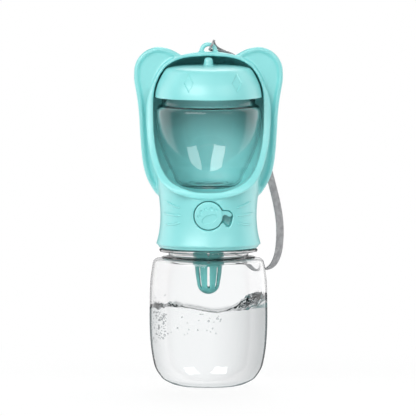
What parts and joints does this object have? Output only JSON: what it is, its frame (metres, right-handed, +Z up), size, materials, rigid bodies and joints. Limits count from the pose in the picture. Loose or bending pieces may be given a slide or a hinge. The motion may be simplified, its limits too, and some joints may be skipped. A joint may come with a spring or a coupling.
{
  "type": "dog travel water bottle",
  "caption": "Clear water bottle with a screw-on head: drinking trough with ears, press-and-lock valve knob, removable lidded food cup, strainer and wrist lanyard.",
  "frame": {"origin": "middle of the bottle's foot, on the surface it stands on", "axes": "+Z up along the bottle's axis; the trough opens towards -Y; +X is the object's right seen from the front"},
  "size_m": [0.0944, 0.086, 0.2171],
  "materials": {
    "clear_plastic": "clear, polished",
    "teal_plastic": "satin moulded plastic",
    "deep_teal_plastic": "satin, slightly translucent",
    "white_plastic": "satin moulded plastic",
    "silicone": "matte silicone",
    "steel": "drawn stainless",
    "cord": "braided polyester",
    "webbing": "woven polyester webbing",
    "clasp_plastic": "satin moulded plastic"
  },
  "bodies": {
    "bottle_body": {"bottle": "clear_plastic"},
    "neck_ring": {"neck_seal": "silicone"},
    "head": {"collar": "teal_plastic", "trough": "teal_plastic", "valve_block": "white_plastic", "valve_end_cap": "white_plastic", "end_cap_seal": "silicone", "rod_seals": "silicone", "gland_washer": "steel", "return_spring": "steel", "outlet_seal": "silicone", "inlet_seal": "silicone", "valve_screws": "steel", "lanyard_cord": "cord", "lanyard_strap": "webbing", "strap_clasp": "clasp_plastic"},
    "valve_stem": {"push_rod": "steel", "valve_plug": "silicone"},
    "knob": {"lock_knob": "teal_plastic"},
    "strainer": {"strainer_cage": "deep_teal_plastic"},
    "cup": {"food_cup": "clear_plastic"},
    "lid": {"food_lid": "teal_plastic", "lid_seal": "silicone"}
  },
  "joints": [
    {"name": "head_rise", "type": "slide", "parent": "bottle_body", "child": "neck_ring", "axis": [0, 0, 1], "range_m": [0, 0.00501]},
    {"name": "head_turn", "type": "hinge", "parent": "neck_ring", "child": "head", "pos_m": [0, 0, 0.09], "axis": [0, 0, 1], "range_deg": [0, 450]},
    {"name": "button_press", "type": "slide", "parent": "head", "child": "valve_stem", "axis": [0, 1, 0], "range_m": [0, 0.003], "stiffness_N_per_m": 400, "springref_m": -0.004, "deforming": ["return_spring"]},
    {"name": "knob_lock", "type": "hinge", "parent": "valve_stem", "child": "knob", "pos_m": [0, -0.028, 0.1088], "axis": [0, 1, 0], "range_deg": [0, 26]},
    {"name": "strainer_twist", "type": "hinge", "parent": "head", "child": "strainer", "pos_m": [0, 0, 0.09], "axis": [0, 0, 1], "range_deg": [0, 45]},
    {"name": "cup_slide", "type": "slide", "parent": "head", "child": "cup", "axis": [0, -0.9945, 0.1045], "range_m": [0, 0.085]},
    {"name": "lid_twist", "type": "hinge", "parent": "cup", "child": "lid", "pos_m": [0, 0, 0.183], "axis": [0, 0, 1], "range_deg": [0, 45]}
  ],
  "couplings": [
    {"joint": "head_rise", "follows": "head_turn", "m_per_rad": 0.00063662}
  ]
}
